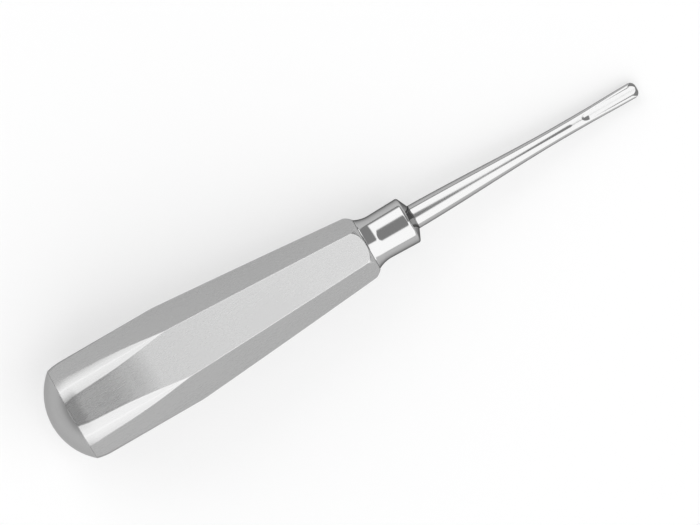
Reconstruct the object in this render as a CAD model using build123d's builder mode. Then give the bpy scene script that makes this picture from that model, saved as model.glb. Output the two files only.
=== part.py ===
# Hand elevator for loosening teeth: a hollow six-sided steel handle closed by a domed cap, with a
# turned ferrule at its front that holds a tapered shank ending in a scooped blade.
# It lies on one flat of the handle, along X, with the blade's hollow side up.
# Distances named as along the axis run from the top of the dome towards the blade's edge.
import os
from math import atan, cos, radians, sin, sqrt, tan

from build123d import *

os.makedirs("parts", exist_ok=True)

# Handle blank as it is turned
handle_radius = 11.25
handle_length = 73.0
rim_ease_depth = 0.45
rim_ease_length = 2.0
blank_taper_angle = 16.0
shoulder_length = 2.15
shoulder_radius = 7.5
handle_face_radius = 6.12

# Flats ground on the blank, as distances from the axis
flat_count = 6
rim_flat_distance = 10.9
knee_flat_distance = 10.6
knee_from_rim = 15.3
knee_blend_radius = 200.0
front_flat_distance = 6.3

# Hollow inside the handle, bored in steps that narrow to the front
handle_wall = 1.5
front_wall_length = 12.0
cap_bore_length = 15.3
hollow_step_count = 2

# Domed cap that closes the butt
dome_radius = 14.3
cap_spigot_length = 4.0
cap_spigot_wall = 1.6
cap_recess_depth = 5.5
spigot_chamfer = 0.4

# Ferrule
ferrule_length = 11.65
ferrule_flare_radius = 6.02
ferrule_waist_radius = 5.18
ferrule_waist_from_handle = 3.2
ferrule_front_radius = 5.38
ferrule_front_chamfer = 0.3
ferrule_nose_depth = 1.2
ferrule_spigot_radius = 3.6
ferrule_spigot_length = 11.0

# Shank and the tang that holds it
shank_root_radius = 2.75
shank_root_length = 7.5
shank_taper_start_radius = 2.62
shank_taper_end_radius = 1.77
shank_neck_length = 8.8
shank_neck_radius = 1.63
shank_length = 37.7
tang_radius = 2.2
tang_length = 20.0

# Blade, as half widths and half depths of its oval section at places from the shank's end
blade_length = 17.75
blade_neck_length = 1.5
blade_mid_from_shank = 6.4
blade_mid_half_width = 1.63
blade_mid_half_depth = 1.38
blade_wide_from_shank = 13.0
blade_wide_half_width = 1.76
blade_wide_half_depth = 1.17
blade_end_half_width = 1.79
blade_end_half_depth = 1.02

# Blade's tip
tip_corner_radius = 1.3
tip_bow_radius = 5.0
tip_edge_thickness = 0.18
tip_edge_height = 0.04
tip_face_bevel_angle = 26.0
tip_back_bevel_angle = 24.0

# Hollow ground along the blade by a wheel with a round edge
scoop_length = 11.8
scoop_slope = 3.4
scoop_edge_radius = 1.3
scoop_wheel_radius = 3.0
scoop_floor_at_tip = 0.16

# Play between a spigot or tang and its bore, on the radius
seat_clearance = 0.02
# Spare length by which a cut runs past the metal
overrun = 2.0

# Places along the axis
rim_radius = handle_radius - rim_ease_depth
rim_x = dome_radius - sqrt(dome_radius**2 - rim_radius**2)
knee_x = rim_x + knee_from_rim
handle_end_x = rim_x + handle_length
ferrule_end_x = handle_end_x + ferrule_length
blade_x = ferrule_end_x + shank_length
tip_x = blade_x + blade_length

# The instrument rests on the long stretch of one flat, so its axis falls towards the blade by that
# stretch's slope. The origin is midway along it, on the surface that it lies on.
flat_fall = (knee_flat_distance - front_flat_distance) / (handle_end_x - knee_x)
tilt = atan(flat_fall)
flat_distance_at_dome = front_flat_distance + flat_fall * handle_end_x
rear_x = dome_radius * (cos(tilt) - 1)
front_x = tip_x * cos(tilt) + tip_edge_height * sin(tilt)
dome_top = (-(rear_x + front_x) / 2, 0, flat_distance_at_dome * cos(tilt))
along = (cos(tilt), 0, -sin(tilt))
upward = (sin(tilt), 0, cos(tilt))

# Planes through the axis, seen from the side and from above, and the plane square to it
side = Plane(origin=dome_top, x_dir=along, z_dir=(0, -1, 0))
above = Plane(origin=dome_top, x_dir=along, z_dir=upward)
across = Plane(origin=dome_top, x_dir=(0, 1, 0), z_dir=along)
turning_axis = Axis(dome_top, along)


def bore(radius):
    """The hole's radius for a spigot or tang of this radius."""
    return radius + seat_clearance


# Handle shell
eased_flat_distance = rim_flat_distance - rim_ease_depth
rim_flat_fall = (rim_flat_distance - knee_flat_distance) / knee_from_rim
ease_end_flat_distance = rim_flat_distance - rim_flat_fall * rim_ease_length
flat_distance_past_end = front_flat_distance - flat_fall * overrun
# The bore leaves the wall under the flats or under the rim, whichever lies nearer to the axis
cap_bore_radius = min(knee_flat_distance, rim_radius) - handle_wall
hollow_start_x = rim_x + cap_bore_length
hollow_step_length = (handle_length - cap_bore_length - front_wall_length) / hollow_step_count
shoulder_x = handle_end_x - shoulder_length
taper_x = shoulder_x - (handle_radius - shoulder_radius) / tan(radians(blank_taper_angle))

with BuildPart() as handle_shell:
    # Turned outside
    with BuildSketch(side):
        with BuildLine():
            Polyline((handle_end_x, 0),
                     (rim_x, 0),
                     (rim_x, rim_radius),
                     (rim_x + rim_ease_length, handle_radius),
                     (taper_x, handle_radius))
            blank_taper = Line((taper_x, handle_radius), (shoulder_x, shoulder_radius))
            TangentArc((shoulder_x, shoulder_radius), (handle_end_x, handle_face_radius),
                       tangent=blank_taper % 1)
            Line((handle_end_x, handle_face_radius), (handle_end_x, 0))
        make_face()
    revolve(axis=turning_axis)
    # Flats, each eased at the rim and steeper past the knee
    for turn in range(flat_count):
        flat_facing = Vector(side.z_dir).rotate(turning_axis, turn * 360 / flat_count)
        with BuildSketch(Plane(origin=dome_top, x_dir=along, z_dir=flat_facing)):
            with BuildLine():
                FilletPolyline((rim_x + rim_ease_length, ease_end_flat_distance),
                               (knee_x, knee_flat_distance),
                               (handle_end_x + overrun, flat_distance_past_end),
                               radius=knee_blend_radius)
                Polyline((handle_end_x + overrun, flat_distance_past_end),
                         (handle_end_x + overrun, handle_radius + overrun),
                         (rim_x - overrun, handle_radius + overrun),
                         (rim_x - overrun, eased_flat_distance),
                         (rim_x, eased_flat_distance),
                         (rim_x + rim_ease_length, ease_end_flat_distance))
            make_face()
        extrude(amount=handle_radius, both=True, mode=Mode.SUBTRACT)
    # Bore for the ferrule right through, and a wide one at the rear for the cap
    with BuildSketch(across.offset(rim_x)):
        Circle(bore(ferrule_spigot_radius))
    extrude(amount=handle_length, mode=Mode.SUBTRACT)
    with BuildSketch(across.offset(rim_x)):
        Circle(cap_bore_radius)
    extrude(amount=cap_bore_length, mode=Mode.SUBTRACT)
    # Hollow between them, each step leaving the wall under the flats at its front
    for step in range(hollow_step_count):
        step_x = hollow_start_x + step * hollow_step_length
        flat_distance = front_flat_distance + flat_fall * (handle_end_x - step_x - hollow_step_length)
        with BuildSketch(across.offset(step_x)):
            Circle(flat_distance - handle_wall)
        extrude(amount=hollow_step_length, mode=Mode.SUBTRACT)
handle_shell.part.label = "handle_shell"
export_step(handle_shell.part, "parts/handle_shell.step")

# End cap, a dome with a hollow spigot that seats in the shell's rear bore
cap_spigot_radius = cap_bore_radius - seat_clearance
cap_recess_radius = cap_spigot_radius - cap_spigot_wall

with BuildPart() as end_cap:
    with Locations(across.offset(dome_radius).origin):
        Sphere(dome_radius)
    # The handle's flats run on over its edge
    with BuildSketch(across):
        RegularPolygon(eased_flat_distance, flat_count, major_radius=False,
                       rotation=90 - 180 / flat_count)
    extrude(amount=rim_x, mode=Mode.INTERSECT)
    with BuildSketch(across.offset(rim_x)):
        Circle(cap_spigot_radius)
    extrude(amount=cap_spigot_length)
    chamfer(edges().group_by(Axis.X)[-1], spigot_chamfer)
    with BuildSketch(across.offset(rim_x + cap_spigot_length)):
        Circle(cap_recess_radius)
    extrude(amount=-cap_recess_depth, mode=Mode.SUBTRACT)
end_cap.part.label = "end_cap"
export_step(end_cap.part, "parts/end_cap.step")

# Ferrule, seated on the handle's front face, with its spigot inside the handle
waist_x = handle_end_x + ferrule_waist_from_handle
nose_x = ferrule_end_x - ferrule_nose_depth

with BuildPart() as ferrule:
    with BuildSketch(side):
        with BuildLine():
            TangentArc((waist_x, ferrule_waist_radius), (handle_end_x, ferrule_flare_radius),
                       tangent=(-1, 0))
            Polyline((waist_x, ferrule_waist_radius),
                     (nose_x - ferrule_front_chamfer, ferrule_front_radius),
                     (nose_x, ferrule_front_radius - ferrule_front_chamfer),
                     (ferrule_end_x, shank_root_radius),
                     (ferrule_end_x, bore(tang_radius)),
                     (handle_end_x - ferrule_spigot_length, bore(tang_radius)),
                     (handle_end_x - ferrule_spigot_length, ferrule_spigot_radius - spigot_chamfer),
                     (handle_end_x - ferrule_spigot_length + spigot_chamfer, ferrule_spigot_radius),
                     (handle_end_x, ferrule_spigot_radius),
                     (handle_end_x, ferrule_flare_radius))
        make_face()
    revolve(axis=turning_axis)
ferrule.part.label = "ferrule"
export_step(ferrule.part, "parts/ferrule.step")

# Working end: tang, shank and blade in one piece
tang_x = ferrule_end_x - tang_length
corner_x = tip_x - tip_bow_radius + sqrt(tip_bow_radius**2 - blade_end_half_width**2)
blank_height = 2 * shank_root_radius
face_bevel_run = blank_height / tan(radians(tip_face_bevel_angle))
back_bevel_run = blank_height / tan(radians(tip_back_bevel_angle))
scoop_run = scoop_length * cos(radians(scoop_slope))
scoop_rise = scoop_length * sin(radians(scoop_slope))
scoop_start = side.from_local_coords((tip_x - scoop_run, scoop_floor_at_tip + scoop_rise))
scoop_along = Vector(along).rotate(Axis.Y, scoop_slope)
scoop_plane = Plane(origin=scoop_start, x_dir=across.x_dir, z_dir=scoop_along)
wheel_axis = Axis(scoop_plane.from_local_coords((0, scoop_wheel_radius)), scoop_plane.x_dir)

with BuildPart() as working_end:
    # Body of the blade
    for distance, half_width, half_depth in (
            (0, shank_neck_radius, shank_neck_radius),
            (blade_neck_length, shank_neck_radius, shank_neck_radius),
            (blade_mid_from_shank, blade_mid_half_width, blade_mid_half_depth),
            (blade_wide_from_shank, blade_wide_half_width, blade_wide_half_depth),
            (blade_length, blade_end_half_width, blade_end_half_depth)):
        with BuildSketch(across.offset(blade_x + distance)):
            Ellipse(half_width, half_depth)
    loft(ruled=True)
    # Its outline from above, with the end bowed and the corners rounded
    with BuildSketch(above):
        with BuildLine():
            Polyline((corner_x, -blade_end_half_width),
                     (blade_x, -blade_end_half_width),
                     (blade_x, blade_end_half_width),
                     (corner_x, blade_end_half_width))
            ThreePointArc((corner_x, blade_end_half_width), (tip_x, 0), (corner_x, -blade_end_half_width))
        make_face()
        fillet(vertices().group_by(Axis.X)[-1], tip_corner_radius)
    extrude(amount=blank_height, both=True, mode=Mode.INTERSECT)
    # Its outline from the side, with a bevel above and below the edge
    with BuildSketch(side):
        Polygon((blade_x, -blank_height),
                (tip_x - back_bevel_run, -blank_height),
                (tip_x, tip_edge_height - tip_edge_thickness),
                (tip_x, tip_edge_height),
                (tip_x - face_bevel_run, blank_height),
                (blade_x, blank_height),
                align=None)
    extrude(amount=blank_height, both=True, mode=Mode.INTERSECT)
    # Hollow ground along it, with the wheel's run-out at the rear
    with BuildSketch(scoop_plane) as scoop_section:
        with Locations((0, scoop_edge_radius)):
            Circle(scoop_edge_radius)
        with Locations((0, scoop_wheel_radius)):
            Rectangle(2 * scoop_edge_radius, 2 * scoop_edge_radius,
                      align=(Align.CENTER, Align.MIN), mode=Mode.SUBTRACT)
    extrude(amount=scoop_length + overrun, mode=Mode.SUBTRACT)
    revolve(scoop_section.sketch, axis=wheel_axis, revolution_arc=90, mode=Mode.SUBTRACT)
    # Shank, its shoulder on the ferrule, and the tang
    with BuildSketch(side):
        with BuildLine():
            Polyline((blade_x, 0),
                     (tang_x, 0),
                     (tang_x, tang_radius - spigot_chamfer),
                     (tang_x + spigot_chamfer, tang_radius),
                     (ferrule_end_x, tang_radius),
                     (ferrule_end_x, shank_root_radius))
            Polyline((ferrule_end_x, shank_root_radius),
                     (ferrule_end_x + shank_root_length, shank_taper_start_radius),
                     (blade_x - shank_neck_length, shank_taper_end_radius),
                     (blade_x, shank_neck_radius),
                     (blade_x, 0))
        make_face()
    revolve(axis=turning_axis)
working_end.part.label = "working_end"
export_step(working_end.part, "parts/working_end.step")
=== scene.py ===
# A dental luxator on a pale studio floor, seen from above as in the photograph.
# Every surface is worked out in millimetres in the instrument's own axes, which are x along it from the
# top of the dome, y across it and z up from its axis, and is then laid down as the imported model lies.
from math import atan, cos, pi, radians, sin, sqrt, tan

import bpy
import numpy as np
from mathutils import Matrix, Vector


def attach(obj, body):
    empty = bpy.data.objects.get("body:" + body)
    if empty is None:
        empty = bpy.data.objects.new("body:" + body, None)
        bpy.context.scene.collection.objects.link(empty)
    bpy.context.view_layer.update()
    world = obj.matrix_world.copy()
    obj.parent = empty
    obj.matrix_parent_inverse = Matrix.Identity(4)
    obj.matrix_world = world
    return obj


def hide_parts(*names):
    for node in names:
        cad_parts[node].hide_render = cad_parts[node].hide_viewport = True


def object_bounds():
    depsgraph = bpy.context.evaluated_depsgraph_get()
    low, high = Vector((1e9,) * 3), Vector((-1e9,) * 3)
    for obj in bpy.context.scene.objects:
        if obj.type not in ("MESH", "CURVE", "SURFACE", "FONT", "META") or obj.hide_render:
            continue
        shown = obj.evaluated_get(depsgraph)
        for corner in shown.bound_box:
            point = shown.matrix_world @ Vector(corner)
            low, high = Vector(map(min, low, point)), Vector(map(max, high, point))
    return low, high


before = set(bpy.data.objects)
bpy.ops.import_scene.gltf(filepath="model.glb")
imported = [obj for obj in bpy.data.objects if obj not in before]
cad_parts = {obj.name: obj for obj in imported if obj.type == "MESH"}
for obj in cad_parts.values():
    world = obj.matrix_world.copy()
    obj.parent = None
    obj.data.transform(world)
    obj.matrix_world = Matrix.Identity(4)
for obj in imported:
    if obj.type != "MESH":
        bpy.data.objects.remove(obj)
cadLow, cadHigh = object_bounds()
print("frame loaded")

mm = 0.001

# Sizes that more than one piece uses, in millimetres
size = {
    "sides": 6, "handleRadius": 11.25, "handleLength": 73.0, "domeRadius": 14.3,
    "rimEaseDepth": 0.45, "rimEaseLength": 2.0, "capBoreRadius": 9.1,
    "rimFlat": 10.9, "kneeFlat": 10.6, "kneeFromRim": 15.3, "frontFlat": 6.3,
    "ferruleLength": 11.65, "shankRoot": 2.75, "shankLength": 37.7, "bladeLength": 17.75,
    "tangRadius": 2.2, "tangLength": 20.0, "ferruleSpigot": 3.6, "spigotLength": 11.0,
    "play": 0.02,
}
rimRadius = size["handleRadius"] - size["rimEaseDepth"]
easedFlat = size["rimFlat"] - size["rimEaseDepth"]
rimX = size["domeRadius"] - sqrt(size["domeRadius"] ** 2 - rimRadius ** 2)
kneeX = rimX + size["kneeFromRim"]
handleEndX = rimX + size["handleLength"]
ferruleEndX = handleEndX + size["ferruleLength"]
bladeX = ferruleEndX + size["shankLength"]
tipX = bladeX + size["bladeLength"]

# The instrument lies on the long stretch of one flat, which gives the fall of its axis
flatFall = (size["kneeFlat"] - size["frontFlat"]) / (handleEndX - kneeX)
tilt = atan(flatFall)
domeTopX = cadLow.x / mm + size["domeRadius"] * (1 - cos(tilt))
domeTopZ = (size["frontFlat"] + flatFall * handleEndX) * cos(tilt)
along = Vector((cos(tilt), 0, -sin(tilt)))
upward = Vector((sin(tilt), 0, cos(tilt)))
layDown = Matrix.Translation((domeTopX * mm, 0, domeTopZ * mm)) @ Matrix.Rotation(tilt, 4, "Y")


def smoothMin(a, b, ease):
    # The lower of two values, with the corner where they cross rounded over the distance ease
    h = np.maximum(ease - np.abs(a - b), 0) / ease
    return np.minimum(a, b) - h * h * ease / 4


def fromFlatMiddle(angle):
    # The angle round the axis from the middle of the nearest flat, and the angle that one side takes
    sector = 2 * pi / size["sides"]
    return np.abs((angle + sector / 2) % sector - sector / 2), sector


def spaced(stops, counts):
    # Stations from the first stop to the last, evenly spaced between neighbouring stops
    runs = [np.linspace(a, b, n, endpoint=False) for a, b, n in zip(stops, stops[1:], counts)]
    return np.concatenate(runs + [np.array([stops[-1]])])


def quarterRound(near, ease):
    # What a quarter round takes off an edge, where near runs from 0 at its start to 1 at the edge
    return ease * (1 - np.sqrt(1 - near ** 2))


def circleHeight(radius, distance):
    # Height of a circle over its middle line at this distance from its centre, and 0 past its end
    return np.sqrt(np.maximum(radius ** 2 - distance ** 2, 0))


def ringPoints(x, radius, angle):
    # Points at these places along the axis, radii and angles round it from straight up
    return np.stack([x + 0 * angle, radius * np.sin(angle), radius * np.cos(angle)], axis=-1)


def surface(name, rings, wear, material, node, wrap=False):
    # rings[i, j] is point j of ring i. Neighbouring rings are joined by quads, and each ring closes on
    # itself. With wrap the last ring joins the first, and without it a fan closes each end.
    rows, columns, _ = rings.shape
    points = rings.reshape(-1, 3)
    index = np.arange(rows * columns).reshape(rows, columns)
    nextColumn = np.roll(index, -1, axis=1)
    if wrap:
        quads = np.stack([index, nextColumn, np.roll(nextColumn, -1, axis=0),
                          np.roll(index, -1, axis=0)], axis=-1).reshape(-1, 4)
    else:
        quads = np.stack([index[:-1], nextColumn[:-1], nextColumn[1:], index[1:]], axis=-1).reshape(-1, 4)
    triangles = np.zeros((0, 3), int)
    wearValues = wear.reshape(-1)
    if not wrap:
        first, last = len(points), len(points) + 1
        points = np.vstack([points, rings[0].mean(0), rings[-1].mean(0)])
        wearValues = np.append(wearValues, [0.0, 0.0])
        triangles = np.vstack([
            np.stack([nextColumn[0], index[0], np.full(columns, first)], axis=-1),
            np.stack([index[-1], nextColumn[-1], np.full(columns, last)], axis=-1)])
    # The signed volume, summed over all triangles, says which way the faces point
    def volumeOf(faces):
        a, b, c = points[faces].transpose(1, 0, 2)
        return np.einsum("ij,ij->i", a, np.cross(b, c)).sum() / 6

    volume = volumeOf(quads[:, [0, 1, 2]]) + volumeOf(quads[:, [0, 2, 3]]) + volumeOf(triangles)
    if volume < 0:
        quads = quads[:, ::-1]
        triangles = triangles[:, ::-1]
    mesh = bpy.data.meshes.new(name)
    mesh.vertices.add(len(points))
    mesh.vertices.foreach_set("co", (points * mm).astype(np.float32).ravel())
    loops = np.concatenate([quads.ravel(), triangles.ravel()])
    mesh.loops.add(len(loops))
    mesh.loops.foreach_set("vertex_index", loops.astype(np.int32))
    starts = np.concatenate([np.arange(len(quads)) * 4, len(quads) * 4 + np.arange(len(triangles)) * 3])
    mesh.polygons.add(len(starts))
    mesh.polygons.foreach_set("loop_start", starts.astype(np.int32))
    mesh.polygons.foreach_set("use_smooth", np.ones(len(starts), bool))
    mesh.update(calc_edges=True)
    attribute = mesh.attributes.new("edgeWear", "FLOAT", "POINT")
    attribute.data.foreach_set("value", wearValues.astype(np.float32))
    mesh.transform(layDown)
    mesh.validate()
    mesh.materials.append(material)
    piece = bpy.data.objects.new(name, mesh)
    bpy.context.scene.collection.objects.link(piece)
    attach(piece, "root")
    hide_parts(node)
    print(name, "made,", len(quads) * 2 + len(triangles), "triangles, volume in mm3", round(abs(volume)))


def turned(profile, columns):
    # Rings of a profile of (x, radius) turned about the axis
    angle = np.linspace(0, 2 * pi, columns, endpoint=False)
    return ringPoints(profile[:, 0:1], profile[:, 1:2], angle)


def corners(points, rounding, steps):
    # A profile through these (x, radius) points, each inner corner rounded by a curve of the second
    # degree that starts and ends at the given distance from the corner, or nearer on a short side
    mostOfSide = 0.45
    run = [np.array(points[0], float)]
    for before, at, after, ease in zip(points, points[1:], points[2:], rounding):
        before, at, after = (np.array(p, float) for p in (before, at, after))
        start = at + (before - at) * min(ease / np.linalg.norm(before - at), mostOfSide)
        end = at + (after - at) * min(ease / np.linalg.norm(after - at), mostOfSide)
        for t in np.linspace(0, 1, steps):
            run.append((1 - t) ** 2 * start + 2 * t * (1 - t) * at + t * t * end)
    run.append(np.array(points[-1], float))
    return np.array(run)


# Materials. Each noise has a detail and a roughness, and a mark shows between two of its noise's values.
noiseForm = {
    "grain": (3.0, 0.55), "clouds": (4.0, 0.55), "marks": (2.0, 0.4), "markEdges": (0.66, 0.74),
    "middle": 0.5, "quarterTurn": 0.25,
}


def nodeTree(name):
    material = bpy.data.materials.new(name)
    material.use_nodes = True
    tree = material.node_tree
    tree.nodes.clear()
    return material, tree


def addNode(tree, kind, inputs=None, **settings):
    node = tree.nodes.new(kind)
    for key, value in settings.items():
        setattr(node, key, value)
    for key, value in (inputs or {}).items():
        if hasattr(value, "is_output"):
            tree.links.new(value, node.inputs[key])
        else:
            node.inputs[key].default_value = value
    return node


def calculate(tree, operation, *values):
    return addNode(tree, "ShaderNodeMath", dict(enumerate(values)), operation=operation).outputs[0]


def stretchedNoise(tree, place, scale, detail, roughness):
    # Noise of one feature per metre along each axis times scale, in the instrument's own axes
    stretched = addNode(tree, "ShaderNodeMapping", {"Vector": place, "Scale": scale})
    noise = addNode(tree, "ShaderNodeTexNoise",
                    {"Vector": stretched.outputs[0], "Scale": 1.0, "Detail": detail, "Roughness": roughness})
    return noise.outputs["Fac"]


def varied(tree, noise, amount, base):
    # The base plus this amount of the noise about its middle
    about = calculate(tree, "SUBTRACT", noise, noiseForm["middle"])
    return calculate(tree, "MULTIPLY_ADD", about, amount, base)


def steel(name, look):
    # Bare steel. Roughness is a base, plus cloudy handling marks, plus fine grain, less where edges are
    # worn bright. Colour varies with the clouds and grain, darkens in the marks and brightens on worn
    # edges. Bump is the grain and the marks. Brushing along the instrument spreads a reflection across
    # it, a quarter turn from the brushing.
    material, tree = nodeTree(name)
    coordinates = addNode(tree, "ShaderNodeTexCoord").outputs["Object"]
    place = addNode(tree, "ShaderNodeMapping",
                    {"Vector": coordinates, "Rotation": (0, tilt, 0)}, vector_type="TEXTURE").outputs[0]
    grain = stretchedNoise(tree, place, look["grainScale"], *noiseForm["grain"])
    clouds = stretchedNoise(tree, place, look["cloudScale"], *noiseForm["clouds"])
    marks = stretchedNoise(tree, place, look["markScale"], *noiseForm["marks"])
    wear = addNode(tree, "ShaderNodeAttribute", attribute_name="edgeWear").outputs["Fac"]
    markFrom, markTo = noiseForm["markEdges"]
    markLine = addNode(tree, "ShaderNodeMapRange",
                       {"Value": marks, "From Min": markFrom, "From Max": markTo}).outputs[0]
    roughness = varied(tree, clouds, look["cloudRoughness"], look["roughness"])
    roughness = varied(tree, grain, look["grainRoughness"], roughness)
    roughness = calculate(tree, "MULTIPLY_ADD", wear, -look["wearPolish"], roughness)
    tone = varied(tree, clouds, look["cloudTone"], 1.0)
    tone = varied(tree, grain, look["grainTone"], tone)
    tone = calculate(tree, "MULTIPLY_ADD", wear, look["wearTone"], tone)
    tone = calculate(tree, "MULTIPLY_ADD", markLine, -look["markTone"], tone)
    colour = addNode(tree, "ShaderNodeVectorMath",
                     {0: look["colour"], "Scale": tone}, operation="SCALE").outputs[0]
    height = calculate(tree, "ADD", grain, calculate(tree, "MULTIPLY", markLine, look["markDepth"]))
    bump = addNode(tree, "ShaderNodeBump",
                   {"Height": height, "Strength": look["bumpStrength"], "Distance": look["bumpHeight"]})
    shader = addNode(tree, "ShaderNodeBsdfPrincipled",
                     {"Base Color": colour, "Metallic": 1.0, "Roughness": roughness,
                      "Specular Tint": look["edgeTint"], "Normal": bump.outputs[0]})
    if look["brushing"] > 0:
        lengthwise = addNode(tree, "ShaderNodeCombineXYZ", {"X": along.x, "Y": along.y, "Z": along.z})
        tree.links.new(lengthwise.outputs[0], shader.inputs["Tangent"])
        shader.inputs["Anisotropic"].default_value = look["brushing"]
        shader.inputs["Anisotropic Rotation"].default_value = noiseForm["quarterTurn"]
    output = addNode(tree, "ShaderNodeOutputMaterial")
    tree.links.new(shader.outputs[0], output.inputs["Surface"])
    return material


satinHandle = steel("satinHandle", {
    "colour": (0.46, 0.46, 0.46), "edgeTint": (0.5, 0.5, 0.5, 1), "roughness": 0.28, "brushing": 0.7,
    "grainScale": (300, 9000, 9000), "grainRoughness": 0.10, "grainTone": 0.05,
    "cloudScale": (45, 90, 90), "cloudRoughness": 0.10, "cloudTone": 0.04,
    "markScale": (160, 2600, 2600), "markTone": 0.03, "markDepth": 0.4,
    "wearPolish": 0.04, "wearTone": 0.05, "bumpStrength": 0.15, "bumpHeight": 0.000006,
})
turnedCap = steel("turnedCap", {
    "colour": (0.43, 0.43, 0.43), "edgeTint": (0.7, 0.7, 0.7, 1), "roughness": 0.30, "brushing": 0.0,
    "grainScale": (12000, 500, 500), "grainRoughness": 0.12, "grainTone": 0.06,
    "cloudScale": (120, 120, 120), "cloudRoughness": 0.10, "cloudTone": 0.05,
    "markScale": (3500, 160, 160), "markTone": 0.04, "markDepth": 0.4,
    "wearPolish": 0.04, "wearTone": 0.05, "bumpStrength": 0.2, "bumpHeight": 0.000006,
})
mirrorFerrule = steel("mirrorFerrule", {
    "colour": (0.465, 0.465, 0.465), "edgeTint": (0.2, 0.2, 0.2, 1), "roughness": 0.09, "brushing": 0.0,
    "grainScale": (14000, 300, 300), "grainRoughness": 0.05, "grainTone": 0.02,
    "cloudScale": (180, 180, 180), "cloudRoughness": 0.05, "cloudTone": 0.03,
    "markScale": (4500, 220, 220), "markTone": 0.02, "markDepth": 0.5,
    "wearPolish": 0.02, "wearTone": 0.04, "bumpStrength": 0.08, "bumpHeight": 0.000003,
})
polishedBlade = steel("polishedBlade", {
    "colour": (0.465, 0.465, 0.465), "edgeTint": (0.2, 0.2, 0.2, 1), "roughness": 0.11, "brushing": 0.0,
    "grainScale": (260, 14000, 14000), "grainRoughness": 0.07, "grainTone": 0.03,
    "cloudScale": (120, 300, 300), "cloudRoughness": 0.06, "cloudTone": 0.03,
    "markScale": (200, 6000, 6000), "markTone": 0.03, "markDepth": 0.5,
    "wearPolish": 0.03, "wearTone": 0.05, "bumpStrength": 0.10, "bumpHeight": 0.000003,
})
print("materials made")

# Handle shell
handleForm = {
    "kneeBlend": 200.0, "blankTaper": 16.0, "shoulderLength": 2.15, "shoulderRadius": 7.5,
    "faceRadius": 6.12, "wall": 1.5, "capBoreLength": 15.3, "frontWall": 12.0, "boreSteps": 2,
    "rimBlend": 0.30, "crown": 0.08, "flatEdgeEase": 0.05, "cornerEase": 0.06, "rimEdgeEase": 0.07,
    "edgeHalfAngle": 1.2, "edgeMargin": 1.4, "shoulderBlend": 0.4, "columnCounts": (7, 9, 6),
    "stopsFromRim": (0, 0.15, 1.6, 2.4, 58), "shoulderFine": 2.5, "faceFine": 0.1,
    "ringCounts": (10, 8, 20, 120, 40, 90, 6),
    "blankWear": 0.14, "cornerWear": 0.25, "wearFree": 0.05,
}


def flatDistance(x):
    # Two straight falls that meet at the knee, joined by a parabola as long as the blend's arc, and at
    # the rim a steep one that eases the flat
    rimFall = (size["rimFlat"] - size["kneeFlat"]) / size["kneeFromRim"]
    half = handleForm["kneeBlend"] * tan((atan(flatFall) - atan(rimFall)) / 2)
    into = np.clip(x - kneeX + half, 0, 2 * half)
    bend = (flatFall - rimFall) * (into * into / (4 * half) + np.maximum(x - kneeX - half, 0))
    halfRun = (handleEndX - kneeX) / 2
    crown = handleForm["crown"] * (np.maximum(x - kneeX, 0) / halfRun - 1) ** 2
    ground = size["kneeFlat"] - rimFall * (x - kneeX) - bend - crown
    easeSlope = (size["rimEaseDepth"] - rimFall * size["rimEaseLength"]) / size["rimEaseLength"]
    return smoothMin(ground, easedFlat + easeSlope * (x - rimX), handleForm["rimBlend"])


def blankRadius(x):
    # The turned blank: a short cone at the rim, a cylinder, a straight taper and an arc at the shoulder
    f = handleForm
    rimCone = rimRadius + size["rimEaseDepth"] / size["rimEaseLength"] * (x - rimX)
    radius = smoothMin(rimCone, size["handleRadius"], f["rimBlend"])
    slope = tan(radians(f["blankTaper"]))
    shoulderX = handleEndX - f["shoulderLength"]
    taper = f["shoulderRadius"] + (shoulderX - x) * slope
    radius = smoothMin(radius, taper, f["shoulderBlend"])
    # The shoulder's arc leaves the taper along its slope and ends at the face, as a circle through both
    run, fall = f["shoulderLength"], f["shoulderRadius"] - f["faceRadius"]
    angle = radians(f["blankTaper"])
    arc = (run ** 2 + fall ** 2) / (2 * (fall * cos(angle) - run * sin(angle)))
    centreX = shoulderX - arc * sin(angle)
    centreRadius = f["shoulderRadius"] - arc * cos(angle)
    past = np.clip(x, shoulderX, handleEndX) - centreX
    return np.where(x > shoulderX, centreRadius + np.sqrt(arc ** 2 - past ** 2), radius)


def handleRadiusAt(x, angle):
    # Distance of the surface from the axis: the blank's radius or the nearer flats' distance over the
    # cosine of the angle from its middle, whichever is less, with eased edges
    offset, sector = fromFlatMiddle(angle)
    distance = flatDistance(x)
    nearFlat = distance / np.cos(offset)
    nextFlat = distance / np.cos(sector - offset)
    flats = smoothMin(nearFlat, nextFlat, handleForm["cornerEase"])
    return smoothMin(flats, blankRadius(x), handleForm["flatEdgeEase"])


def handleColumns(x):
    # Angles round the handle for each x, crowded where a flat meets the turned blank. A row runs through
    # all sides, and in each half side it has a flat part, an edge part and a part on the blank.
    f = handleForm
    sector = 2 * pi / size["sides"]
    half = sector / 2
    near = radians(f["edgeHalfAngle"])
    ratio = np.clip(flatDistance(x) / blankRadius(x), 0, 1)
    edge = np.clip(np.arccos(ratio), near * f["edgeMargin"], half - near * f["edgeMargin"])
    stops = [0 * edge, edge - near, edge + near, half + 0 * edge]
    side = np.concatenate([a[:, None] + (b - a)[:, None] * np.linspace(0, 1, n, endpoint=False)
                           for a, b, n in zip(stops, stops[1:], f["columnCounts"])], axis=1)
    backward = sector - side[:, :0:-1]
    middle = half + 0 * edge[:, None]
    whole = np.concatenate([side, middle, backward], axis=1)
    return np.concatenate([whole + k * sector for k in range(size["sides"])], axis=1)


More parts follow.
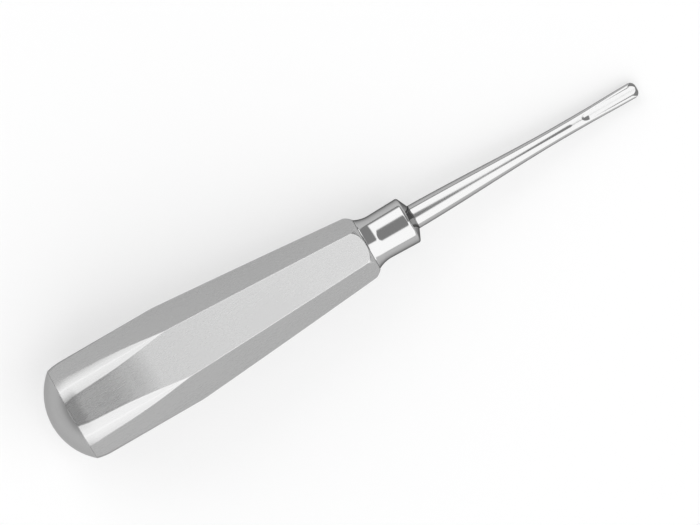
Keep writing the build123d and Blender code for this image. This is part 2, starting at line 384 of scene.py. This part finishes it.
def makeHandle():
    # The outside is handleRadiusAt over a grid of x and angle, and the inside is stepped round bores
    f = handleForm
    shoulderX = handleEndX - f["shoulderLength"]
    stops = [rimX + distance for distance in f["stopsFromRim"]]
    stops += [shoulderX - f["shoulderFine"], handleEndX - f["faceFine"], handleEndX]
    x = spaced(stops, f["ringCounts"])
    angle = handleColumns(x)
    # The rim's and the front face's own edges are eased by a quarter round
    nearRim = np.clip(1 - (x - rimX) / f["rimEdgeEase"], 0, 1)
    nearFace = np.clip(1 - (handleEndX - x) / f["rimEdgeEase"], 0, 1)
    nearEnd = np.maximum(nearRim, nearFace)[:, None]
    radius = handleRadiusAt(x[:, None], angle) - quarterRound(nearEnd, f["rimEdgeEase"])
    outer = ringPoints(x[:, None], radius, angle)
    # Wear is strongest where the flats' and the blank's radii nearly meet
    offset, sector = fromFlatMiddle(angle)
    distance = flatDistance(x)[:, None]
    toBlank = np.abs(distance / np.cos(offset) - blankRadius(x)[:, None])
    toNext = np.abs(distance / np.cos(offset) - distance / np.cos(sector - offset))
    onBlank = np.maximum(1 - toBlank / f["blankWear"], 0) * (offset > f["wearFree"])
    onCorner = np.maximum(1 - toNext / f["cornerWear"], 0)
    wear = np.clip(onBlank + onCorner + nearEnd, 0, 1)
    # Inside, from the front face back through the bores to the rear face
    frontBore = size["ferruleSpigot"] + size["play"]
    capBore = size["capBoreRadius"]
    stepLength = (size["handleLength"] - f["capBoreLength"] - f["frontWall"]) / f["boreSteps"]
    inner = [(handleEndX, frontBore)]
    for step in reversed(range(f["boreSteps"])):
        startX = kneeX + step * stepLength
        endX = startX + stepLength
        boreRadius = size["frontFlat"] + flatFall * (handleEndX - endX) - f["wall"]
        inner += [(endX, inner[-1][1]), (endX, boreRadius)]
    inner += [(kneeX, inner[-1][1]), (kneeX, capBore), (rimX, capBore)]
    inner = np.array(inner)
    # The bores' rings keep the angles of the outer ring that they hang from
    shared = np.where((np.arange(len(inner)) < len(inner) - 1)[:, None], angle[-1], angle[0])
    bores = ringPoints(inner[:, 0:1], inner[:, 1:2], shared)
    rings = np.concatenate([outer, bores])
    wear = np.concatenate([wear, np.zeros(shared.shape)])
    surface("handleShell", rings, wear, satinHandle, "handle_shell", wrap=True)


makeHandle()

# End cap
capForm = {
    "spigotLength": 4.0, "spigotWall": 1.6, "recessDepth": 5.5, "chamfer": 0.4,
    "rimEase": 0.07, "flatEase": 0.04, "columns": 360,
    "poleAngle": 0.002, "anglesToRim": (0.06, 0.006, 0), "ringCounts": (100, 40, 10),
    "faceStart": 0.5, "floorHole": 0.05, "innerEase": 0.05, "cornerSteps": 3,
}


def makeCap():
    # The dome is a circle's arc, radius = sqrt(R^2 - (R - x)^2), from its top to the rim. Where the
    # handle's flats run on over its edge, the radius is their distance over the cosine of the angle from
    # a flat's middle. The joint face, the hollow spigot and its recess close it.
    f = capForm
    dome = size["domeRadius"]
    rimAngle = np.arcsin(rimRadius / dome)
    turn = spaced([f["poleAngle"]] + [rimAngle - less for less in f["anglesToRim"]], f["ringCounts"])
    x = dome * (1 - np.cos(turn))
    angle = np.linspace(0, 2 * pi, f["columns"], endpoint=False)
    offset, _ = fromFlatMiddle(angle)
    radius = smoothMin(dome * np.sin(turn)[:, None], easedFlat / np.cos(offset)[None], f["flatEase"])
    toRim = np.clip(1 - (rimX - x) / f["rimEase"], 0, 1)
    outer = ringPoints(x[:, None], radius - quarterRound(toRim, f["rimEase"])[:, None], angle)
    spigot = size["capBoreRadius"] - size["play"]
    recess = spigot - f["spigotWall"]
    backX = rimX + f["spigotLength"]
    floorX = backX - f["recessDepth"]
    profile = [(rimX, spigot + f["faceStart"]), (rimX, spigot), (backX - f["chamfer"], spigot),
               (backX, spigot - f["chamfer"]), (backX, recess), (floorX, recess),
               (floorX, f["floorHole"])]
    inside = corners(profile, [f["innerEase"]] * (len(profile) - 2), f["cornerSteps"])
    rings = np.concatenate([outer, turned(inside, f["columns"])])
    wear = np.concatenate([toRim, np.zeros(len(inside))])
    wear = np.repeat(wear[:, None], f["columns"], axis=1)
    surface("endCap", rings, wear, turnedCap, "end_cap")


makeCap()

# Ferrule
ferruleForm = {
    "flare": 6.02, "waist": 5.18, "waistFromHandle": 3.2, "frontRadius": 5.38, "frontEdge": 0.5,
    "noseDepth": 1.2, "noseEase": 0.12, "chamfer": 0.4, "innerEase": 0.05,
    "lip": [(0.0, 0.12), (0.03, 0.03)], "lipRings": 6, "flareRings": 60, "bodyRings": 40,
    "edgeSteps": 14, "cornerSteps": 3, "columns": 224, "noseWear": 0.35,
}


def makeFerrule():
    # The flare is a circle's arc that meets the waist along the axis. The body widens straight to the
    # front edge, which is rounded into the sloping nose. Wear fades from the front edge both ways as
    # exp(-(distance / reach)^2).
    f = ferruleForm
    run = f["waistFromHandle"]
    rise = f["flare"] - f["waist"]
    arc = (run ** 2 + rise ** 2) / (2 * rise)
    x = np.linspace(0, run, f["flareRings"])
    flare = np.stack([handleEndX + x, f["waist"] + arc - np.sqrt(arc ** 2 - (run - x) ** 2)], axis=-1)
    waistX = handleEndX + run
    noseX = ferruleEndX - f["noseDepth"]
    bore = size["tangRadius"] + size["play"]
    spigotX = handleEndX - size["spigotLength"]
    body = corners([(waistX, f["waist"]), (noseX, f["frontRadius"]), (ferruleEndX, size["shankRoot"]),
                    (ferruleEndX, bore)], [f["frontEdge"], f["noseEase"]], f["edgeSteps"])
    bodyShares = spaced([0, 1], [f["bodyRings"]])[:, None]
    body = np.vstack([body[0] + (body[1] - body[0]) * bodyShares, body[2:]])
    spigot = [(ferruleEndX, bore), (spigotX, bore), (spigotX, size["ferruleSpigot"] - f["chamfer"]),
              (spigotX + f["chamfer"], size["ferruleSpigot"]), (handleEndX, size["ferruleSpigot"])]
    inside = corners(spigot, [f["innerEase"]] * (len(spigot) - 2), f["cornerSteps"])
    # The flare's outer edge is eased by a short lip, which takes the place of the flare's first rings
    lip = np.array([(handleEndX + ahead, f["flare"] - less) for ahead, less in f["lip"]])
    profile = np.vstack([lip, flare[f["lipRings"]:], body[1:], inside[1:]])
    wear = np.exp(-((profile[:, 0] - noseX) / f["noseWear"]) ** 2) * (profile[:, 1] > size["shankRoot"])
    wear = np.repeat(wear[:, None], f["columns"], axis=1)
    surface("turnedFerrule", turned(profile, f["columns"]), wear, mirrorFerrule,
            "ferrule", wrap=True)


makeFerrule()

# Working end
bladeForm = {
    "neckRadius": 1.63, "rootSlope": 0.01, "tangChamfer": 0.4, "shoulderGap": 0.001,
    "places": [1.5, 6.4, 13.0, 17.75], "halfWidths": [1.63, 1.63, 1.76, 1.79],
    "halfDepths": [1.63, 1.38, 1.17, 1.02],
    "cornerRadius": 1.3, "bowRadius": 5.0, "edgeThickness": 0.18, "edgeHeight": 0.04,
    "faceBevel": 26.0, "backBevel": 24.0, "scoopLength": 11.8, "scoopSlope": 3.4, "scoopRadius": 1.3,
    "wheelRadius": 3.0, "scoopFloor": 0.16, "runOutRise": 0.06, "hollowTop": 2.2, "noHollow": 9.0,
    "rimEase": 0.07, "bevelEase": 0.05, "tipShort": 0.004, "leastDepth": 0.02,
    "curveSteps": 400, "tries": 400, "rimLeast": 0.12, "rimMost": 0.9, "rimBand": 0.09, "bandShare": 0.5,
    "runOutBehind": 2.6, "runOutAhead": 0.6, "endRun": 3.4, "ringCounts": (130, 14, 60, 60),
    "endRings": 110, "columnCounts": (12, 9, 12),
    "rimWear": 0.07, "rimWearBelow": 1.3, "endWear": 0.12,
}


def shankRadius(x):
    # A cubic curve from the root's slope to the level neck, its radius taken at the x that it passes
    third = size["shankLength"] / 3
    t = np.linspace(0, 1, bladeForm["curveSteps"])
    alongRun = np.array([0, third, size["shankLength"] - third, size["shankLength"]])
    radii = np.array([size["shankRoot"], size["shankRoot"] - bladeForm["rootSlope"] * third,
                      bladeForm["neckRadius"], bladeForm["neckRadius"]])
    weights = np.stack([(1 - t) ** 3, 3 * t * (1 - t) ** 2, 3 * t * t * (1 - t), t ** 3])
    return np.interp(x - ferruleEndX, alongRun @ weights, radii @ weights)


def outlineHalfWidth(x):
    # From above: straight sides, a corner's arc, and the bow's arc at the end
    f = bladeForm
    side = f["halfWidths"][-1]
    bowX = tipX - f["bowRadius"]
    reach = f["bowRadius"] - f["cornerRadius"]
    cornerY = side - f["cornerRadius"]
    cornerX = bowX + sqrt(reach ** 2 - cornerY ** 2)
    meetX = bowX + (cornerX - bowX) * f["bowRadius"] / reach
    corner = cornerY + circleHeight(f["cornerRadius"], np.maximum(x - cornerX, 0))
    bow = circleHeight(f["bowRadius"], np.maximum(x - bowX, 0))
    return np.where(x < meetX, np.minimum(corner, side), bow)


def scoopFloor(x):
    # The hollow's lowest line: straight and rising to the rear, then up round the wheel
    f = bladeForm
    slope = tan(radians(f["scoopSlope"]))
    startX = tipX - f["scoopLength"] * cos(radians(f["scoopSlope"]))
    floor = f["scoopFloor"] + (tipX - np.maximum(x, startX)) * slope
    back = np.clip(startX - x, 0, f["wheelRadius"])
    return floor + f["wheelRadius"] - circleHeight(f["wheelRadius"], back) + f["runOutRise"] * back


def sectionPlaces():
    # Places of the sections along the working end, closer at the hollow's run-out and, by a sine, at
    # the tip
    f = bladeForm
    scoopStartX = tipX - f["scoopLength"]
    endX = tipX - f["endRun"]
    x = spaced([ferruleEndX, bladeX, scoopStartX - f["runOutBehind"], scoopStartX + f["runOutAhead"], endX],
               f["ringCounts"])
    end = tipX - f["endRun"] * (1 - np.sin(np.linspace(0, 1, f["endRings"] + 1)[1:] * pi / 2))
    return np.concatenate([x, np.minimum(end, tipX - f["tipShort"])])[:, None]


def placesAcross(halfWidth, halfDepth, edgeY, floor):
    # Places across each section, from one side to the other, in a middle, a rim and an outer part, the
    # last crowded to the edge. The rim is where the hollow's circle meets the oval, found by trying
    # places across the section.
    f = bladeForm
    tries = np.linspace(0, 1, f["tries"]) * halfWidth
    oval = halfDepth * circleHeight(1, tries / halfWidth)
    circle = floor + f["scoopRadius"] - circleHeight(f["scoopRadius"], tries)
    below = (circle < oval).sum(1, keepdims=True) / f["tries"] * halfWidth
    rimY = np.clip(below, f["rimLeast"], edgeY * f["rimMost"])
    near = np.minimum(f["rimBand"], rimY * f["bandShare"])
    near = np.minimum(near, (edgeY - rimY) * f["bandShare"])
    innerCount, rimCount, outerCount = f["columnCounts"]
    inner = (rimY - near) * np.linspace(0, 1, innerCount, endpoint=False)
    rim = (rimY - near) + 2 * near * np.linspace(0, 1, rimCount, endpoint=False)
    outer = (rimY + near) + (edgeY - rimY - near) * np.sin(np.linspace(0, 1, outerCount) * pi / 2)
    half = np.concatenate([inner, rim, outer], axis=1)
    return np.concatenate([-half[:, :0:-1], half], axis=1), rimY


def makeWorkingEnd():
    # Each section is an oval that the hollow and the bevels cut. Its top is the lowest of the oval, the
    # hollow's circle and the bevel above the edge, and its bottom the higher of the oval and the bevel
    # below it. The shank has the oval alone, which is round there.
    f = bladeForm
    x = sectionPlaces()
    places = bladeX + np.array(f["places"])
    shank = shankRadius(np.minimum(x, bladeX))
    halfWidth = np.where(x < places[0], shank, np.interp(x, places, f["halfWidths"]))
    halfDepth = np.where(x < places[0], shank, np.interp(x, places, f["halfDepths"]))
    edgeY = np.where(x < bladeX, halfWidth, np.minimum(halfWidth, outlineHalfWidth(x)))
    floor = scoopFloor(x)
    across, rimY = placesAcross(halfWidth, halfDepth, edgeY, floor)
    oval = halfDepth * circleHeight(1, across / halfWidth)
    hollow = floor + f["scoopRadius"] - circleHeight(f["scoopRadius"], across)
    hollow = np.where(floor > f["hollowTop"], f["noHollow"], hollow)
    toTip = tipX - x
    face = f["edgeHeight"] + toTip * tan(radians(f["faceBevel"]))
    back = f["edgeHeight"] - f["edgeThickness"] - toTip * tan(radians(f["backBevel"]))
    top = smoothMin(oval, hollow, f["rimEase"])
    top = np.where(x < bladeX, oval, smoothMin(top, face, f["bevelEase"]))
    bottom = np.maximum(-oval, back)
    bottom = np.where(top - bottom < f["leastDepth"], top - f["leastDepth"], bottom)
    upper = np.stack([x + 0 * across, across, top], axis=-1)
    lower = np.stack([x + 0 * across, across, bottom], axis=-1)[:, ::-1]
    sections = np.concatenate([upper, lower], axis=1)
    # Wear shows on the hollow's rims and along the bevelled end
    onRim = np.exp(-((np.abs(across) - rimY) / f["rimWear"]) ** 2) * (floor < f["rimWearBelow"])
    onEnd = np.exp(-toTip / f["endWear"])
    wear = np.clip(np.concatenate([onRim + onEnd, 0 * onRim + onEnd], axis=1), 0, 1)
    # The tang carries the first section's columns
    tangX = ferruleEndX - size["tangLength"]
    chamfer = f["tangChamfer"]
    tang = np.array([(tangX, size["tangRadius"] - chamfer), (tangX + chamfer, size["tangRadius"]),
                     (ferruleEndX - f["shoulderGap"], size["tangRadius"])])
    firstRound = sections[0, :, 1:] / size["shankRoot"]
    tangRings = np.concatenate([np.broadcast_to(tang[:, None, 0:1], (len(tang), len(firstRound), 1)),
                                tang[:, None, 1:2] * firstRound[None]], axis=-1)
    rings = np.concatenate([tangRings, sections])
    wear = np.concatenate([np.zeros((len(tang), wear.shape[1])), wear])
    surface("workingEnd", rings, wear, polishedBlade, "working_end")


makeWorkingEnd()

# Studio: a pale floor and a sky of soft panels, whose edges are in degrees
studio = {
    "floorColour": (0.44, 0.44, 0.44, 1), "floorGlow": 0.50, "floorReach": 3.0,
    "dim": 0.42, "panel": 2.0, "gapSoft": 4.0, "gapCloses": (4.8, 7.6),
    "near": {"gap": 19.5, "gapSlope": -1.0, "gapMost": 28.0, "gapAhead": 8.0, "side": (82.0, 92.0),
             "tip": (48.0, 60.0)},
    "far": {"gap": 27.5, "gapSlope": -2.2, "gapMost": 40.0, "gapAhead": 0.0, "side": (74.0, 84.0),
            "tip": (11.0, 16.0)},
    "butt": (46.0, 62.0), "ahead": (11.0, 18.0),
}


def makeFloor():
    reach = studio["floorReach"]
    mesh = bpy.data.meshes.new("floor")
    square = [(-reach, -reach, 0), (reach, -reach, 0), (reach, reach, 0), (-reach, reach, 0)]
    mesh.from_pydata(square, [], [(0, 1, 2, 3)])
    material, tree = nodeTree("paleFloor")
    # Pale to the camera and in the steel alike, with the shadow kept by the diffuse share
    rays = addNode(tree, "ShaderNodeLightPath").outputs
    seen = calculate(tree, "MAXIMUM", rays["Is Camera Ray"],
                     calculate(tree, "MAXIMUM", rays["Is Glossy Ray"], rays["Is Transmission Ray"]))
    glow = addNode(tree, "ShaderNodeEmission",
                   {"Strength": calculate(tree, "MULTIPLY", seen, studio["floorGlow"])})
    diffuse = addNode(tree, "ShaderNodeBsdfDiffuse", {"Color": studio["floorColour"]})
    shader = addNode(tree, "ShaderNodeAddShader", {0: diffuse.outputs[0], 1: glow.outputs[0]})
    output = addNode(tree, "ShaderNodeOutputMaterial")
    tree.links.new(shader.outputs[0], output.inputs["Surface"])
    mesh.materials.append(material)
    floor = bpy.data.objects.new("floor", mesh)
    bpy.context.scene.collection.objects.link(floor)


def makeSky():
    # Brightness by direction. The angle across is measured round the instrument's axis from straight
    # up, towards the near side, and the angle along from there towards the tip. Two long soft panels lie
    # beside a dim gap that narrows towards the tip, closes, and opens again further on by gapAhead.
    world = bpy.data.worlds.new("studioSky")
    bpy.context.scene.world = world
    world.use_nodes = True
    tree = world.node_tree
    tree.nodes.clear()
    direction = addNode(tree, "ShaderNodeTexCoord").outputs["Generated"]

    def component(axis):
        return addNode(tree, "ShaderNodeVectorMath", {0: direction, 1: axis},
                       operation="DOT_PRODUCT").outputs["Value"]

    def rising(value, low, high):
        return addNode(tree, "ShaderNodeMapRange", {"Value": value, "From Min": low, "From Max": high},
                       interpolation_type="SMOOTHSTEP").outputs[0]

    degrees = 180 / pi
    alongAngle = calculate(tree, "MULTIPLY", calculate(tree, "ARCSINE", component(along)), degrees)
    acrossAngle = calculate(tree, "MULTIPLY", calculate(tree, "ARCTAN2", component((0, -1, 0)),
                                                        component(upward)), degrees)
    gapOpen = rising(alongAngle, *studio["gapCloses"][::-1])
    ahead = rising(alongAngle, *studio["ahead"])
    light = 0.0
    for sign, panel in ((1, studio["near"]), (-1, studio["far"])):
        angle = calculate(tree, "MULTIPLY", acrossAngle, sign)
        gap = calculate(tree, "MULTIPLY_ADD", alongAngle, panel["gapSlope"], panel["gap"])
        gap = calculate(tree, "MINIMUM", gap, panel["gapMost"])
        gap = calculate(tree, "MULTIPLY", gap, gapOpen)
        gap = calculate(tree, "MULTIPLY_ADD", ahead, panel["gapAhead"], gap)
        opens = rising(calculate(tree, "SUBTRACT", angle, gap), -studio["gapSoft"], studio["gapSoft"])
        closes = rising(angle, *panel["side"][::-1])
        endsAtTip = rising(alongAngle, *panel["tip"][::-1])
        lit = calculate(tree, "MULTIPLY", calculate(tree, "MULTIPLY", opens, closes), endsAtTip)
        light = calculate(tree, "ADD", light, lit)
    endsAtButt = rising(alongAngle, -studio["butt"][1], -studio["butt"][0])
    light = calculate(tree, "MINIMUM", calculate(tree, "MULTIPLY", light, endsAtButt), 1.0)
    strength = calculate(tree, "MULTIPLY_ADD", light, studio["panel"] - studio["dim"], studio["dim"])
    background = addNode(tree, "ShaderNodeBackground", {"Color": (1, 1, 1, 1), "Strength": strength})
    output = addNode(tree, "ShaderNodeOutputWorld")
    tree.links.new(background.outputs[0], output.inputs["Surface"])


makeFloor()
makeSky()
print("studio made")

# Camera, straight above the instrument's axis and turned as in the photograph
view = {
    "distance": 3000.0, "frameWidth": 150.4, "centreAlong": 72.93, "centreAcross": -1.61,
    "turn": 30.1, "sensor": 36.0, "clipEnd": 20.0,
}


def makeCamera():
    data = bpy.data.cameras.new("camera")
    data.sensor_width = view["sensor"]
    data.lens = view["sensor"] * view["distance"] / view["frameWidth"]
    data.clip_end = view["clipEnd"]
    camera = bpy.data.objects.new("camera", data)
    turn = radians(view["turn"])
    acrossAxis = Vector((0, 1, 0))
    right = along * cos(turn) - acrossAxis * sin(turn)
    up = along * sin(turn) + acrossAxis * cos(turn)
    aim = layDown @ Vector((view["centreAlong"] * mm, view["centreAcross"] * mm, 0))
    place = aim + upward * view["distance"] * mm
    camera.matrix_world = Matrix.Translation(place) @ Matrix((right, up, upward)).transposed().to_4x4()
    bpy.context.scene.collection.objects.link(camera)
    bpy.context.scene.camera = camera


makeCamera()
bpy.context.scene.view_settings.view_transform = "Standard"
print("camera set")
